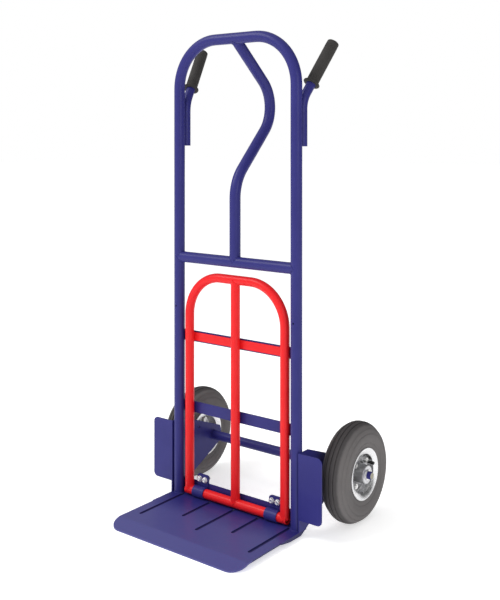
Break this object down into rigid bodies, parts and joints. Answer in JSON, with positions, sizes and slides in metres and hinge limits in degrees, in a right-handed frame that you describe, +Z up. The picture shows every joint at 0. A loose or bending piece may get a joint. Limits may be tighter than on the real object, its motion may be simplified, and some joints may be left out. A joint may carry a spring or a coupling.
{
  "type": "hand truck",
  "caption": "Tall two-wheeled hand truck: bent tube frame with a grab handle and rubber-gripped side handles, steel toe plate and a fold-down tube extension.",
  "frame": {"origin": "on the floor under the middle of the footprint", "axes": "+Z up, -Y towards the toe plate, +X to the right seen from the front"},
  "size_m": [0.65, 0.557, 1.293],
  "materials": {
    "blue_paint": "gloss powder coat",
    "red_paint": "gloss powder coat",
    "grip_rubber": "matt moulded",
    "zinc_plate": "bright zinc",
    "rim_plate": "bright plated",
    "bearing_steel": "ground",
    "tyre_rubber": "matt moulded",
    "tube_rubber": "matt",
    "black_plastic": "matt"
  },
  "bodies": {
    "frame": {"main_hoop": "blue_paint", "mid_crossbar": "blue_paint", "grab_handle": "blue_paint", "handle_stub_left": "blue_paint", "handle_stub_right": "blue_paint", "hand_grip_left": "grip_rubber", "hand_grip_right": "grip_rubber", "upper_flat_bar": "blue_paint", "lower_flat_bar": "blue_paint", "toe_plate": "blue_paint", "hinge_rail": "blue_paint", "hinge_clamp_left": "blue_paint", "hinge_clamp_right": "blue_paint", "clamp_bolts": "zinc_plate", "clamp_nuts": "zinc_plate", "clamp_washers": "zinc_plate", "wheel_bracket_left": "blue_paint", "wheel_bracket_right": "blue_paint", "wheel_guard_left": "blue_paint", "wheel_guard_right": "blue_paint", "axle_rod": "blue_paint", "axle_tube": "blue_paint", "axle_collars": "zinc_plate", "axle_washers": "zinc_plate", "axle_circlips": "zinc_plate", "bearing_spacers": "zinc_plate", "bearing_inner_rings": "bearing_steel"},
    "toe_extension": {"extension_hoop": "red_paint", "extension_pivot_tube": "red_paint", "extension_center_tube": "red_paint", "extension_strips": "red_paint"},
    "wheel_left": {"tyre_left": "tyre_rubber", "inner_tube_left": "tube_rubber", "rim_outer_left": "rim_plate", "rim_inner_left": "rim_plate", "rim_bolts_left": "zinc_plate", "rim_nuts_left": "zinc_plate", "hub_left": "rim_plate", "bearing_outer_rings_left": "bearing_steel", "bearing_balls_left": "bearing_steel", "bearing_shields_left": "bearing_steel", "valve_stem_left": "tube_rubber", "valve_cap_left": "black_plastic"},
    "wheel_right": {"tyre_right": "tyre_rubber", "inner_tube_right": "tube_rubber", "rim_outer_right": "rim_plate", "rim_inner_right": "rim_plate", "rim_bolts_right": "zinc_plate", "rim_nuts_right": "zinc_plate", "hub_right": "rim_plate", "bearing_outer_rings_right": "bearing_steel", "bearing_balls_right": "bearing_steel", "bearing_shields_right": "bearing_steel", "valve_stem_right": "tube_rubber", "valve_cap_right": "black_plastic"}
  },
  "joints": [
    {"name": "wheel_left_spin", "type": "hinge", "parent": "frame", "child": "wheel_left", "pos_m": [-0.2724, 0.1485, 0.13], "axis": [1, 0, 0], "continuous": true},
    {"name": "wheel_right_spin", "type": "hinge", "parent": "frame", "child": "wheel_right", "pos_m": [0.2724, 0.1485, 0.13], "axis": [1, 0, 0], "continuous": true},
    {"name": "extension_fold", "type": "hinge", "parent": "frame", "child": "toe_extension", "pos_m": [0, -0.015, 0.031], "axis": [1, 0, 0], "range_deg": [0, 90]}
  ]
}
